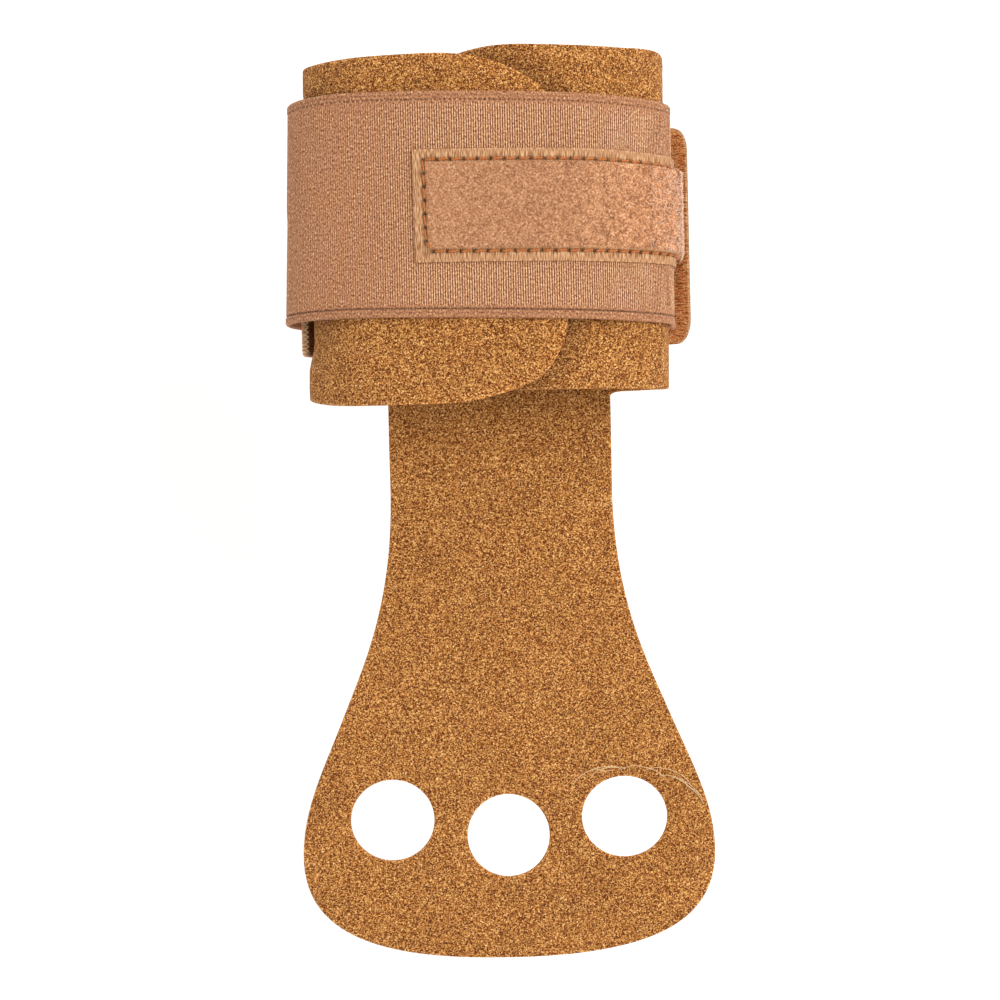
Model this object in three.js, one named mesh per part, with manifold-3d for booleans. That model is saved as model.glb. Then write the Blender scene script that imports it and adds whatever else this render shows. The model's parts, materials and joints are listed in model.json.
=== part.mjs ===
// A hand grip for bars and rings: a suede palm with three finger holes, whose neck is sewn inside
// a suede wrist band. The band's two flaps overlap on the front of the wrist, an elastic strap
// with a loop tape goes over them, and a hook tab crosses the back.
//
// The grip lies on its back. X runs across it, Y from the finger holes to the wrist, and Z up,
// from the surface it lies on to the front of the wrist band. Lengths are in millimetres.
// Leather that bends is split where it bends, and each split is a hinge.
import * as THREE from "three";
import { mergeVertices } from "three/addons/utils/BufferGeometryUtils.js";
import Module from "manifold-3d";

// Thicknesses.
const LEATHER = 1.8;
const ELASTIC = 1.5;
const TAPE = 1.1;
const TAB = 1.2;
const FOLDED_TAB = 1.95;
const THREAD = 0.3;
const GAP = 0.3;

// The palm. Distances along it are from its finger end.
const PALM_HALF_WIDTH = 49.2;
const WIDEST_AT = 24.8;
const FLARE = { halfWidth: 39, at: 57.9 };
const NECK = { halfWidth: 26.4, at: 113.3 };
const HOLE_RADIUS = 10;
const HOLES = [
  { x: -27.6, at: 33.4 },
  { x: 0, at: 29.4 },
  { x: 27.6, at: 33.4 },
];
const FINGER_FOLD_AT = 51.3;
const FLAT_UP_TO = 94.3;
const WRIST_FOLD_AT = 131.3;
const NECK_SEWN_TO = 205;
const FOLD_GAP = 0.9;

// The wrist band: its middle surface, and how far its parts reach along the grip.
const BAND_SHIFT = -2.05;
const BAND_HALF_WIDTH = 41;
const BAND_BACK_Z = 2.6;
const BAND_WIDEST_Z = 17.5;
const BAND_FRONT_Z = 34.6;
const BAND_BACK_FLAT = 29;
const CORNER_FULLNESS = 0.6;
const BACK_PANEL = { low: 134.5, high: 211 };
const LEFT_FLAP = { low: 131.1, high: 209.8 };
const RIGHT_FLAP = { low: 133.9, high: 211.7 };
const FLAP_TIP = 20;
const FLAP_SLOPE = { inward: 28, rise: 5.5 };
const FLAP_ROUND = 14;
const TONGUE = { low: 131.9, fillet: 2.6 };
const SIDE_FOLD_BELOW_WIDEST = 1.5;
const SIDE_FOLD_GAP = 1.4;

// The elastic strap and its loop tape.
const STRAP = { low: 150, high: 200.7, slant: -0.028 };
const STRAP_LIFT_LEFT = 4.2;
const STRAP_LIFT_RIGHT = LEATHER / 2 + GAP + ELASTIC / 2;
const STRAP_FOLD_BELOW_WIDEST = 5.8;
const STRAP_SEWN_TO = 11.2;
const STRAP_END_Z = 5.6;
const STRAP_END_FLARE = 1;
const LOOP_TAPE = { low: 162.1, high: 187.4, left: 15.9 };
const STITCH_INSET = 2.4;
const ZIGZAG = { inset: 2, steps: 20, low: 5.9, high: 8.9, width: 0.6 };

// The hook tab.
const HOOK_TAB = { low: 145.2, high: 196, foldAt: 14.5, flatTo: 36 };
const HOOK_CURL_RADIUS = 14;
const HOOK_CURL_ANGLE = (55 * Math.PI) / 180;
const HOOK_CORNER = { along: 4.5, across: 7 };
const HOOK_SEWN_BELOW_WIDEST = 4.4;

const LENGTH = RIGHT_FLAP.high;
const along = (distance) => distance - LENGTH / 2;

const wasm = await Module();
wasm.setup();

const suede = () => new THREE.MeshStandardMaterial({ color: 0xb1743e, roughness: 0.95 });
const knit = () => new THREE.MeshStandardMaterial({ color: 0xc18c67, roughness: 0.9 });
const pile = () => new THREE.MeshStandardMaterial({ color: 0xcb946e, roughness: 1 });
const hooks = () => new THREE.MeshStandardMaterial({ color: 0xaf6638, roughness: 0.7 });
const thread = () => new THREE.MeshStandardMaterial({ color: 0xa85f28, roughness: 0.8 });

function solidOf(geometry) {
  const bare = geometry.index ? geometry.toNonIndexed() : geometry.clone();
  bare.deleteAttribute("normal");
  bare.deleteAttribute("uv");
  const merged = mergeVertices(bare, 1e-4);
  return new wasm.Manifold(
    new wasm.Mesh({
      numProp: 3,
      vertProperties: merged.attributes.position.array,
      triVerts: new Uint32Array(merged.index.array),
    }),
  );
}

function geometryOf(solid) {
  const mesh = solid.getMesh();
  return new THREE.BufferGeometry()
    .setAttribute("position", new THREE.BufferAttribute(mesh.vertProperties, 3))
    .setIndex(new THREE.BufferAttribute(mesh.triVerts, 1));
}

function piece(name, solid, material) {
  const mesh = new THREE.Mesh(geometryOf(solid), material);
  mesh.name = name;
  return mesh;
}

// A shape in the X-Y plane as a prism between two heights.
function prism(shape, low, high) {
  const geometry = new THREE.ExtrudeGeometry(shape, {
    depth: high - low,
    bevelEnabled: false,
    curveSegments: 10,
  });
  return solidOf(geometry.translate(0, 0, low));
}

// The outline of a band of even thickness whose middle runs through the points.
function bandShape(points, thickness) {
  const side = (distance) =>
    points.map((point, i) => {
      const before = points[Math.max(i - 1, 0)];
      const after = points[Math.min(i + 1, points.length - 1)];
      const way = after.clone().sub(before).normalize();
      return new THREE.Vector2(point.x + distance * way.y, point.y - distance * way.x);
    });
  return new THREE.Shape([...side(thickness / 2), ...side(-thickness / 2).reverse()]);
}

// A band seen along Y, whose points are (x, z), from one place along the grip to another.
function bandAlongY(points, thickness, low, high) {
  const shape = bandShape(points, thickness);
  const geometry = new THREE.ExtrudeGeometry(shape, { depth: high - low, bevelEnabled: false });
  const turn = new THREE.Matrix4().makeBasis(
    new THREE.Vector3(1, 0, 0),
    new THREE.Vector3(0, 0, 1),
    new THREE.Vector3(0, -1, 0),
  );
  return geometry.applyMatrix4(turn).translate(0, high, 0);
}

// A band seen along X, whose points are (y, z), wider than the whole grip.
function bandAlongX(points, thickness) {
  const shape = bandShape(points, thickness);
  const width = 2 * PALM_HALF_WIDTH + 10;
  const geometry = new THREE.ExtrudeGeometry(shape, { depth: width, bevelEnabled: false });
  const turn = new THREE.Matrix4().makeBasis(
    new THREE.Vector3(0, 1, 0),
    new THREE.Vector3(0, 0, 1),
    new THREE.Vector3(1, 0, 0),
  );
  return solidOf(geometry.applyMatrix4(turn).translate(-width / 2, 0, 0));
}

// The wrist band's middle surface, seen along Y: flat at the back and domed at the front. It
// starts at the middle of the back and goes to the right, over the front and down on the left.
function wristOval() {
  const reach = BAND_BACK_FLAT + CORNER_FULLNESS * (BAND_HALF_WIDTH - BAND_BACK_FLAT);
  const lower = BAND_WIDEST_Z - CORNER_FULLNESS * (BAND_WIDEST_Z - BAND_BACK_Z);
  const upper = BAND_WIDEST_Z + CORNER_FULLNESS * (BAND_FRONT_Z - BAND_WIDEST_Z);
  const shoulder = CORNER_FULLNESS * BAND_HALF_WIDTH;
  const wide = BAND_HALF_WIDTH;
  const oval = new THREE.Path();
  oval.moveTo(0, BAND_BACK_Z);
  oval.lineTo(BAND_BACK_FLAT, BAND_BACK_Z);
  oval.bezierCurveTo(reach, BAND_BACK_Z, wide, lower, wide, BAND_WIDEST_Z);
  oval.bezierCurveTo(wide, upper, shoulder, BAND_FRONT_Z, 0, BAND_FRONT_Z);
  oval.bezierCurveTo(-shoulder, BAND_FRONT_Z, -wide, upper, -wide, BAND_WIDEST_Z);
  oval.bezierCurveTo(-wide, lower, -reach, BAND_BACK_Z, -BAND_BACK_FLAT, BAND_BACK_Z);
  oval.lineTo(0, BAND_BACK_Z);
  return oval;
}

const oval = wristOval();
const AROUND = oval.getLength();
const RIGHT_SIDE = oval.getCurveLengths()[1];
const FRONT = AROUND / 2;
const LEFT_SIDE = AROUND - RIGHT_SIDE;
const LAYER = LEATHER + GAP;

// Points of the oval between two distances around it, moved outwards by a lift.
function run(from, to, steps, lift) {
  return Array.from({ length: steps + 1 }, (_, i) => {
    const distance = THREE.MathUtils.lerp(from, to, i / steps);
    const turn = THREE.MathUtils.euclideanModulo(distance / AROUND, 1);
    const point = oval.getPointAt(turn);
    const way = oval.getTangentAt(turn);
    const out = typeof lift === "function" ? lift(distance) : lift;
    return new THREE.Vector2(point.x + out * way.y, point.y - out * way.x);
  });
}

// The left flap climbs over the right one, and the strap comes back down beyond its tip.
const leftFlapLift = (distance) =>
  LAYER * (1 - THREE.MathUtils.smoothstep(distance, FRONT + 25, FRONT + 42));
const strapLift = (distance) =>
  THREE.MathUtils.lerp(
    STRAP_LIFT_RIGHT,
    STRAP_LIFT_LEFT,
    THREE.MathUtils.smoothstep(distance, FRONT - 42, FRONT - 20),
  );

// The palm's outline, the same on both sides.
function palmOutline(top) {
  const shape = new THREE.Shape();
  const half = (sign) => [
    [NECK.halfWidth, NECK.at - 28, 33.5, FLARE.at + 13.4, FLARE.halfWidth, FLARE.at],
    [44, FLARE.at - 12.2, PALM_HALF_WIDTH, WIDEST_AT + 11.5, PALM_HALF_WIDTH, WIDEST_AT],
    [PALM_HALF_WIDTH, 6.3, 27, 0, 0, 0],
  ].map(([x1, y1, x2, y2, x, y]) => [sign * x1, along(y1), sign * x2, along(y2), sign * x, along(y)]);
  shape.moveTo(NECK.halfWidth, along(top));
  shape.lineTo(NECK.halfWidth, along(NECK.at));
  half(1).forEach((curve) => shape.bezierCurveTo(...curve));
  const left = new THREE.Path();
  left.moveTo(-NECK.halfWidth, along(top));
  left.lineTo(-NECK.halfWidth, along(NECK.at));
  half(-1).forEach((curve) => left.bezierCurveTo(...curve));
  left.getPoints(10).reverse().slice(1).forEach((point) => shape.lineTo(point.x, point.y));
  shape.closePath();
  return shape;
}

function fingerHole({ x, at }) {
  const geometry = new THREE.CylinderGeometry(HOLE_RADIUS, HOLE_RADIUS, 6 * LEATHER, 32);
  return solidOf(geometry.rotateX(Math.PI / 2).translate(x, along(at), LEATHER / 2));
}

// The palm lies flat from its finger end and rises to the neck's sewn part. Its two halves meet
// at the finger fold.
const NECK_Z = BAND_BACK_Z + LAYER;
function palmSide(from, to) {
  const rise = new THREE.CubicBezierCurve(
    new THREE.Vector2(along(FLAT_UP_TO), LEATHER / 2),
    new THREE.Vector2(along(FLAT_UP_TO + 15), LEATHER / 2),
    new THREE.Vector2(along(WRIST_FOLD_AT - 14), NECK_Z),
    new THREE.Vector2(along(WRIST_FOLD_AT), NECK_Z),
  );
  const start = new THREE.Vector2(along(from), LEATHER / 2);
  const end = new THREE.Vector2(along(to), LEATHER / 2);
  const rest = to > FLAT_UP_TO ? rise.getPoints(12) : [end];
  return bandAlongX([start, ...rest], LEATHER);
}

function palmLeather() {
  const outline = prism(palmOutline(WRIST_FOLD_AT), -1, 2 * NECK_Z);
  return palmSide(FINGER_FOLD_AT + FOLD_GAP, WRIST_FOLD_AT).intersect(outline);
}

function fingerEnd() {
  const outline = prism(palmOutline(WRIST_FOLD_AT), -1, 2 * NECK_Z);
  const sheet = palmSide(0, FINGER_FOLD_AT).intersect(outline);
  return HOLES.reduce((solid, hole) => solid.subtract(fingerHole(hole)), sheet);
}

function roundedBox(left, low, right, high, radius) {
  const shape = new THREE.Shape();
  const corners = [
    [right, low, -1, 1, 1.5],
    [right, high, -1, -1, 0],
    [left, high, 1, -1, 0.5],
    [left, low, 1, 1, 1],
  ];
  corners.forEach(([x, y, inX, inY, start]) => {
    const from = start * Math.PI;
    shape.absarc(x + inX * radius, y + inY * radius, radius, from, from + Math.PI / 2, false);
  });
  shape.closePath();
  return shape;
}

// The neck's end, inside the band.
function neckEnd() {
  const low = along(WRIST_FOLD_AT + FOLD_GAP);
  const high = along(NECK_SEWN_TO);
  const half = NECK.halfWidth;
  return prism(roundedBox(-half, low, half, high, 1), NECK_Z - LEATHER / 2, NECK_Z + LEATHER / 2);
}

// A box of stitches that holds the neck to the back of the band.
function neckStitching() {
  const inset = 4;
  const half = NECK.halfWidth - inset;
  const low = along(BACK_PANEL.low + inset);
  const high = along(NECK_SEWN_TO - inset);
  const z = NECK_Z + LEATHER / 2 + GAP;
  const outside = prism(roundedBox(-half, low, half, high, 1), z, z + THREAD);
  const inside = roundedBox(-half + 0.8, low + 0.8, half - 0.8, high - 0.8, 0.6);
  return outside.subtract(prism(inside, z - 1, z + 1));
}

// The back of the wrist band, with a tongue behind the neck that ends in a fillet on each side.
function backPanel() {
  const end = LEFT_SIDE + SIDE_FOLD_BELOW_WIDEST + SIDE_FOLD_GAP;
  const points = run(end, 2 * AROUND - end, 44, 0);
  const sheet = solidOf(bandAlongY(points, LEATHER, along(TONGUE.low), along(BACK_PANEL.high)));
  const low = along(BACK_PANEL.low);
  const { fillet } = TONGUE;
  const half = NECK.halfWidth - BAND_SHIFT;
  const notch = (sign) => {
    const shape = new THREE.Shape();
    const edge = sign > 0 ? half : -NECK.halfWidth - BAND_SHIFT;
    shape.moveTo(edge, low - 2 * fillet);
    shape.lineTo(edge, low - fillet);
    shape.quadraticCurveTo(edge, low, edge + sign * fillet, low);
    shape.lineTo(sign * 60, low);
    shape.lineTo(sign * 60, low - 2 * fillet);
    shape.closePath();
    return prism(shape, -5, 60);
  };
  return sheet.subtract(notch(1)).subtract(notch(-1));
}

// A flap's outline, seen from above: an edge slopes in towards the tip from above and from below,
// and the tip is rounded. The left flap's tip points to the right, and its side is 1.
function flapOutline({ low, high }, side) {
  const { inward, rise } = FLAP_SLOPE;
  const tip = side * FLAP_TIP;
  const slopeStart = side * (FLAP_TIP - inward);
  const slopeEnd = side * (FLAP_TIP - 8);
  const slopeBend = side * (FLAP_TIP - 15);
  const bottom = along(low);
  const top = along(high);
  const shape = new THREE.Shape();
  shape.moveTo(-side * 60, bottom);
  shape.lineTo(slopeStart, bottom);
  shape.quadraticCurveTo(slopeBend, bottom + 1, slopeEnd, bottom + rise);
  shape.quadraticCurveTo(tip, bottom + rise + 4, tip, bottom + rise + FLAP_ROUND);
  shape.lineTo(tip, top - rise - FLAP_ROUND);
  shape.quadraticCurveTo(tip, top - rise - 4, slopeEnd, top - rise);
  shape.quadraticCurveTo(slopeBend, top - 1, slopeStart, top);
  shape.lineTo(-side * 60, top);
  shape.closePath();
  return shape;
}

function flap(span, lift, side) {
  const fold = LEFT_SIDE + SIDE_FOLD_BELOW_WIDEST;
  const points = run(FRONT - FLAP_TIP - 3, fold, 34, lift);
  points.forEach((point) => point.set(side * point.x, point.y));
  const sheet = solidOf(bandAlongY(points, LEATHER, along(span.low), along(span.high)));
  return sheet.intersect(prism(flapOutline(span, side), 0, 60));
}

// The strap's run, and what lies on it by an extra lift.
const strapRun = (from, to, steps, extra) =>
  run(from, to, steps, (distance) => strapLift(distance) + extra);

function slanted(geometry, middle) {
  const slant = new THREE.Matrix4().set(
    1, 0, 0, 0,
    STRAP.slant, 1, 0, 0,
    0, 0, 1, 0,
    0, 0, 0, 1,
  );
  return geometry.translate(0, -middle, 0).applyMatrix4(slant).translate(0, middle, 0);
}

function strapBand(points, thickness, { low, high }) {
  const geometry = bandAlongY(points, thickness, along(low), along(high));
  return solidOf(slanted(geometry, along((low + high) / 2)));
}

// The strap goes from the fold on the left over the front, and straight down on the right.
function elasticStrap() {
  const over = strapRun(RIGHT_SIDE, LEFT_SIDE + STRAP_FOLD_BELOW_WIDEST, 46, 0);
  const down = new THREE.Vector2(over[0].x + STRAP_END_FLARE, STRAP_END_Z);
  return strapBand([down, ...over], ELASTIC, STRAP);
}

const SEWN_FROM = LEFT_SIDE + STRAP_FOLD_BELOW_WIDEST + SIDE_FOLD_GAP;
function elasticSewnEnd() {
  const points = strapRun(SEWN_FROM, LEFT_SIDE + STRAP_SEWN_TO, 8, 0);
  return strapBand(points, ELASTIC, STRAP);
}

// A zigzag row of stitches through the strap's sewn end, the tab's and the band.
function anchorStitching() {
  const lift = ELASTIC / 2 + GAP / 2 + THREAD / 2;
  const { inset, steps, low, high, width } = ZIGZAG;
  const points = strapRun(SEWN_FROM, LEFT_SIDE + STRAP_SEWN_TO, 8, lift);
  const skin = solidOf(bandAlongY(points, THREAD, along(STRAP.low), along(STRAP.high)));
  const row = Array.from({ length: steps + 1 }, (_, i) => {
    const distance = THREE.MathUtils.lerp(STRAP.low + inset, STRAP.high - inset, i / steps);
    return new THREE.Vector2(along(distance), i % 2 ? high : low);
  });
  return skin.intersect(bandAlongX(row, width));
}

const TAPE_LIFT = ELASTIC / 2 + GAP / 2 + TAPE / 2;
function tapeRun(lift, left, endZ) {
  const over = strapRun(RIGHT_SIDE, FRONT + left, 36, lift);
  return [new THREE.Vector2(over[0].x + STRAP_END_FLARE, endZ), ...over];
}

function loopTape() {
  const points = tapeRun(TAPE_LIFT, LOOP_TAPE.left, STRAP_END_Z);
  return solidOf(bandAlongY(points, TAPE, along(LOOP_TAPE.low), along(LOOP_TAPE.high)));
}

// Two rows of stitches along the tape, joined by a row across its left end.
function tapeStitching() {
  const lift = TAPE_LIFT + TAPE / 2 + GAP / 2 + THREAD / 2;
  const low = along(LOOP_TAPE.low + STITCH_INSET);
  const high = along(LOOP_TAPE.high - STITCH_INSET);
  const points = tapeRun(lift, LOOP_TAPE.left - STITCH_INSET, STRAP_END_Z + 1);
  const rows = solidOf(bandAlongY(points, THREAD, low, high));
  const inside = tapeRun(lift, LOOP_TAPE.left - STITCH_INSET - 0.7, STRAP_END_Z - 5);
  return rows.subtract(solidOf(bandAlongY(inside, 3 * THREAD, low + 0.7, high - 0.7)));
}

// The tab lies under the back and curls up at its free end, whose corners are rounded.
const TAB_LIFT = BAND_BACK_Z - TAB / 2;
function hookTab() {
  const fold = LEFT_SIDE + HOOK_TAB.foldAt;
  const under = run(fold, AROUND, 16, TAB_LIFT);
  const curl = Array.from({ length: 9 }, (_, i) => {
    const angle = (HOOK_CURL_ANGLE * i) / 8;
    const x = HOOK_TAB.flatTo + HOOK_CURL_RADIUS * Math.sin(angle);
    return new THREE.Vector2(x, TAB / 2 + HOOK_CURL_RADIUS * (1 - Math.cos(angle)));
  });
  const { low, high } = HOOK_TAB;
  const sheet = solidOf(bandAlongY([...under, ...curl], TAB, along(low), along(high)));
  const right = curl.at(-1).x + TAB;
  const bottom = along(low);
  const top = along(high);
  const { along: inX, across: inY } = HOOK_CORNER;
  const outline = new THREE.Shape();
  outline.moveTo(-60, bottom);
  outline.lineTo(right - TAB - inX, bottom);
  outline.quadraticCurveTo(right - TAB * 0.6, bottom, right, bottom + inY);
  outline.lineTo(right, top - inY);
  outline.quadraticCurveTo(right - TAB * 0.6, top, right - TAB - inX, top);
  outline.lineTo(-60, top);
  outline.closePath();
  return sheet.intersect(prism(outline, -5, 30));
}

// The tab's end is folded double between the band and the strap's end, where both are sewn.
function hookTabSewnEnd() {
  const lift = LEATHER / 2 + GAP + FOLDED_TAB / 2;
  const to = LEFT_SIDE + HOOK_TAB.foldAt - SIDE_FOLD_GAP;
  const points = run(LEFT_SIDE + HOOK_SEWN_BELOW_WIDEST, to, 10, lift);
  const { low, high } = HOOK_TAB;
  return solidOf(bandAlongY(points, FOLDED_TAB, along(low), along(high)));
}

const palm = new THREE.Group();
palm.add(piece("palm_leather", palmLeather(), suede()));
palm.add(piece("finger_end", fingerEnd(), suede()));
palm.add(piece("neck_end", neckEnd(), suede()));
palm.add(piece("neck_stitching", neckStitching(), thread()));

const wristBand = new THREE.Group();
wristBand.position.x = BAND_SHIFT;
wristBand.add(piece("band_back", backPanel(), suede()));
wristBand.add(piece("left_flap", flap(LEFT_FLAP, leftFlapLift, 1), suede()));
wristBand.add(piece("right_flap", flap(RIGHT_FLAP, 0, -1), suede()));

const strap = new THREE.Group();
strap.position.x = BAND_SHIFT;
strap.add(piece("elastic_strap", elasticStrap(), knit()));
strap.add(piece("elastic_sewn_end", elasticSewnEnd(), knit()));
strap.add(piece("anchor_stitching", anchorStitching(), thread()));
strap.add(piece("loop_tape", loopTape(), pile()));
strap.add(piece("loop_tape_stitching", tapeStitching(), thread()));
strap.add(piece("hook_tab", hookTab(), hooks()));
strap.add(piece("hook_tab_sewn_end", hookTabSewnEnd(), hooks()));

const grip = new THREE.Group();
grip.add(palm, wristBand, strap);

export default grip;
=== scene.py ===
"""The looks of a suede hand grip for bars and rings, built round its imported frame.

Lengths are in millimetres until a mesh is made, which turns them into metres. X runs across the
grip, Y from the finger holes to the wrist, and Z up to the front of the wrist band.
"""
import json
import math

import bmesh
import bpy
import numpy as np
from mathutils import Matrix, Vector, kdtree
from mathutils.geometry import delaunay_2d_cdt


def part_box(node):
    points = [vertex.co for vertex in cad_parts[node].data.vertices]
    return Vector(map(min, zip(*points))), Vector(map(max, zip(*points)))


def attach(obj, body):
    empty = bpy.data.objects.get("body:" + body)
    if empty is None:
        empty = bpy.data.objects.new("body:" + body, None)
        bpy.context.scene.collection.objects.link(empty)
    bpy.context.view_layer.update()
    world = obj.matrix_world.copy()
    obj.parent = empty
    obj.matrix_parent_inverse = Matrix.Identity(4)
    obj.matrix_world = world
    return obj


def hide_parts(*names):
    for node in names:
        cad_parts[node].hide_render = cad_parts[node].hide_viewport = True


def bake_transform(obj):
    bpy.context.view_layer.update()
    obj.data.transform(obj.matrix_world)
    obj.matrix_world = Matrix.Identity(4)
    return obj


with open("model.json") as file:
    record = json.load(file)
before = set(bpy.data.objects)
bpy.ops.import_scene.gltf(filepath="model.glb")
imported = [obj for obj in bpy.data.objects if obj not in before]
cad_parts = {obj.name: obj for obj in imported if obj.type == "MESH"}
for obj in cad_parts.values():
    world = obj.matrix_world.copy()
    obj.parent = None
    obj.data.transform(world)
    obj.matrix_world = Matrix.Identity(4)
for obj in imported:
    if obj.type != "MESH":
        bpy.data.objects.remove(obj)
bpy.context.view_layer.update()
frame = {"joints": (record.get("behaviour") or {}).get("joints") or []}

MM = 0.001
SEED = 7


# ---- places and sizes, from the frame ----------------------------------------------------------


def box(node):
    """The lowest and highest corners of a CAD node."""
    low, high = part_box(node)
    return np.array(low) / MM, np.array(high) / MM


def pivot(name):
    """A point on a joint's axis."""
    joint = next(j for j in frame["joints"] if j["name"] == name)
    return np.array(joint["pos_m"]) / MM


LEFT_FLAP, RIGHT_FLAP, BAND = box("left_flap"), box("right_flap"), box("band_back")
PALM, FINGERS, NECK = box("palm_leather"), box("finger_end"), box("neck_end")
STRAP, TAPE, TAB = box("elastic_strap"), box("loop_tape"), box("hook_tab")

LEATHER = 1.8
GAP = 0.3
LAYER = LEATHER + GAP
BAND_X = (LEFT_FLAP[0][0] + RIGHT_FLAP[1][0]) / 2
BAND_HALF = (RIGHT_FLAP[1][0] - LEFT_FLAP[0][0]) / 2 - LEATHER / 2
BACK_Z = BAND[0][2] + LEATHER / 2
FRONT_Z = RIGHT_FLAP[1][2] - LEATHER / 2
FLAP_FOLD_BELOW_WIDEST = 1.5
WIDEST_Z = pivot("right_flap_opens")[2] + FLAP_FOLD_BELOW_WIDEST
NECK_Z = (NECK[0][2] + NECK[1][2]) / 2
NECK_HALF = NECK[1][0]
PALM_HALF = FINGERS[1][0]
FINGER_TIP = FINGERS[0][1]


# ---- helpers for numbers and curves ------------------------------------------------------------


def smooth(value, low, high):
    """0 below low, 1 above high, and an even slope between."""
    t = np.clip((np.asarray(value, float) - low) / (high - low), 0, 1)
    return t * t * (3 - 2 * t)


def bump(value, centre, width):
    """1 at the centre, and near 0 two widths away."""
    return np.exp(-(((np.asarray(value, float) - centre) / width) ** 2))


def rounding(edge, radius):
    """The rise of a rounded edge, from 0 at the edge to 1 a radius inside it."""
    return np.sqrt(np.clip(1 - (1 - np.clip(edge / radius, 0, 1)) ** 2, 0, 1))


def bezier(start, bend, second, end, count=60):
    """Points of a cubic curve."""
    t = np.linspace(0, 1, count)[:, None]
    a, b, c, d = (np.array(p, float) for p in (start, bend, second, end))
    u = 1 - t
    return u**3 * a + 3 * u * u * t * b + 3 * u * t * t * c + t**3 * d


def chain(*curves):
    """One line through curves that follow each other."""
    points = np.vstack(curves)
    steps = np.linalg.norm(np.diff(points, axis=0), axis=1)
    return points[np.concatenate([[True], steps > 1e-9])]


def evenly(points, spacing):
    """The same line, between the same ends, with points an even distance apart."""
    points = chain(np.asarray(points, float))
    at = np.concatenate([[0], np.cumsum(np.linalg.norm(np.diff(points, axis=0), axis=1))])
    wanted = np.linspace(0, at[-1], max(2, 1 + round(at[-1] / spacing)))
    return np.stack([np.interp(wanted, at, points[:, i]) for i in range(points.shape[1])], 1)


def ring_of(parts, spacing):
    """A closed line through parts that follow each other, with the corners between them kept, and
    how many of its points lie on its first part."""
    lines = [evenly(part, spacing)[:-1] for part in parts]
    return np.vstack(lines), len(lines[0])


class Grain:
    """Smooth random heights from -1 to 1 over a plane, with bumps of one size."""

    def __init__(self, size, seed):
        self.size = size
        self.table = np.random.default_rng(SEED + seed).uniform(-1, 1, (256, 256))

    def __call__(self, u, v):
        x, y = np.asarray(u, float) / self.size, np.asarray(v, float) / self.size
        i, j = np.floor(x).astype(int), np.floor(y).astype(int)
        fx, fy = smooth(x - i, 0, 1), smooth(y - j, 0, 1)
        i, j, table = i % 255, j % 255, self.table
        low = table[i, j] * (1 - fx) + table[i + 1, j] * fx
        high = table[i, j + 1] * (1 - fx) + table[i + 1, j + 1] * fx
        return low * (1 - fy) + high * fy


class Profile:
    """A line in a plane, known by the distance along it, with its normal on one side."""

    def __init__(self, points, side):
        self.points = np.asarray(points, float)
        steps = np.linalg.norm(np.diff(self.points, axis=0), axis=1)
        self.distance = np.concatenate([[0], np.cumsum(steps)])
        self.length = float(self.distance[-1])
        way = np.gradient(self.points, self.distance, axis=0)
        way /= np.linalg.norm(way, axis=1)[:, None]
        self.normal = side * np.stack([way[:, 1], -way[:, 0]], 1)

    def at(self, distance, lift=0.0):
        distance = np.asarray(distance, float)
        lift = np.asarray(lift, float)
        point = [np.interp(distance, self.distance, self.points[:, i]) for i in (0, 1)]
        normal = [np.interp(distance, self.distance, self.normal[:, i]) for i in (0, 1)]
        return point[0] + lift * normal[0], point[1] + lift * normal[1]


def wrist_oval():
    """The band's middle surface seen along Y, from the middle of the back to the right, over the
    front and down on the left. Also how far along it the widest points and the front are."""
    flat, fullness = 29.0, 0.6
    reach = flat + fullness * (BAND_HALF - flat)
    lower = WIDEST_Z - fullness * (WIDEST_Z - BACK_Z)
    upper = WIDEST_Z + fullness * (FRONT_Z - WIDEST_Z)
    shoulder = fullness * BAND_HALF
    back = np.linspace((0, BACK_Z), (flat, BACK_Z), 40)
    widest = (BAND_HALF, WIDEST_Z)
    corner = bezier((flat, BACK_Z), (reach, BACK_Z), (BAND_HALF, lower), widest, 300)
    over = bezier(widest, (BAND_HALF, upper), (shoulder, FRONT_Z), (0, FRONT_Z), 500)
    right = chain(back, corner, over)
    profile = Profile(chain(right, (right * (-1, 1))[::-1]), side=1)
    return profile, float(profile.distance[len(chain(back, corner)) - 1])


OVAL, RIGHT_SIDE = wrist_oval()
AROUND = OVAL.length
FRONT = AROUND / 2
LEFT_SIDE = AROUND - RIGHT_SIDE
STRAP_LIFT_RIGHT, STRAP_LIFT_OVER, STRAP_LIFT_LEFT = 1.85, 3.75, 4.6


def strap_lift(s):
    """The strap lies on the right flap, climbs over the left one, and stands clear of its side."""
    climb = (STRAP_LIFT_OVER - STRAP_LIFT_RIGHT) * smooth(s, FRONT - 40, FRONT - 19)
    clear = (STRAP_LIFT_LEFT - STRAP_LIFT_OVER) * smooth(s, FRONT + 15, LEFT_SIDE)
    return STRAP_LIFT_RIGHT + climb + clear


# ---- meshes ------------------------------------------------------------------------------------


def add(name, data):
    """A new object in the scene."""
    made = bpy.data.objects.new(name, data)
    bpy.context.scene.collection.objects.link(made)
    return made


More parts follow.
